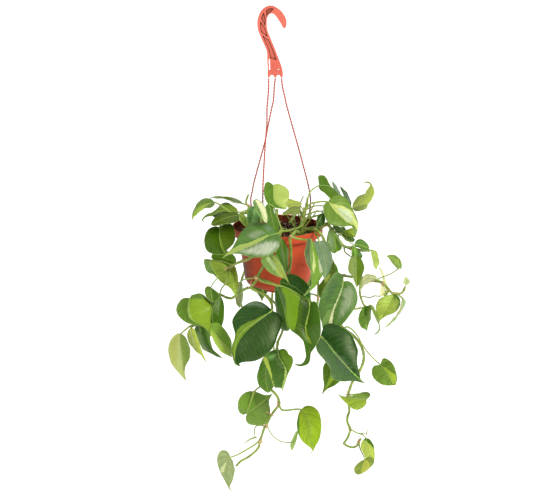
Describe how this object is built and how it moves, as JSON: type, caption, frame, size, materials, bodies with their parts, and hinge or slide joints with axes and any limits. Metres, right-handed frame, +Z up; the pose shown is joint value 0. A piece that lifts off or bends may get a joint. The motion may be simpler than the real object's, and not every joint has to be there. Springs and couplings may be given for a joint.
{
  "type": "hanging potted philodendron",
  "caption": "Trailing heartleaf philodendron with glossy variegated leaves in a small terracotta-coloured plastic pot, hung from a moulded hook by thin strands.",
  "frame": {"origin": "seat of the hanger's hook, the highest point of its throat, where it bears on a rod or nail", "axes": "+Z up; +X to the viewer's right and -Y towards the viewer, seen from the front"},
  "size_m": [0.4023, 0.3381, 0.7874],
  "materials": {
    "pot": "satin moulded terracotta-coloured polypropylene",
    "hanger": "satin moulded salmon-coloured polypropylene",
    "potting_mix": "loose damp bark and peat mix",
    "leaf": "waxy semi-gloss leaf surface, green with lime, silver and cream variegation",
    "stem": "smooth soft green stems and petioles with pinkish nodes"
  },
  "bodies": {
    "root": {"pot": "pot", "potting_mix": "potting_mix", "hanger_hook": "hanger", "strand_front": "hanger", "clip_front": "hanger", "strand_left": "hanger", "clip_left": "hanger", "strand_right": "hanger", "clip_right": "hanger", "leaf_01": "leaf", "leaf_02": "leaf", "leaf_03": "leaf", "leaf_04": "leaf", "leaf_05": "leaf", "leaf_06": "leaf", "leaf_07": "leaf", "leaf_08": "leaf", "leaf_09": "leaf", "leaf_10": "leaf", "leaf_11": "leaf", "leaf_12": "leaf", "leaf_13": "leaf", "leaf_14": "leaf", "leaf_15": "leaf", "leaf_16": "leaf", "leaf_17": "leaf", "leaf_18": "leaf", "leaf_19": "leaf", "leaf_20": "leaf", "leaf_21": "leaf", "leaf_22": "leaf", "leaf_23": "leaf", "leaf_24": "leaf", "leaf_25": "leaf", "leaf_26": "leaf", "leaf_27": "leaf", "leaf_28": "leaf", "leaf_29": "leaf", "leaf_30": "leaf", "leaf_31": "leaf", "leaf_32": "leaf", "leaf_33": "leaf", "leaf_34": "leaf", "leaf_35": "leaf", "leaf_36": "leaf", "leaf_37": "leaf", "leaf_38": "leaf", "leaf_39": "leaf", "vine_left_upper": "stem", "vine_left_side": "stem", "vine_front": "stem", "vine_middle": "stem", "vine_crown": "stem", "vine_right_rim": "stem", "vine_right_low": "stem", "vine_right_down": "stem", "vine_bottom_left": "stem", "vine_back_left": "stem", "vine_back_right": "stem", "vine_back_mid": "stem"}
  },
  "joints": []
}
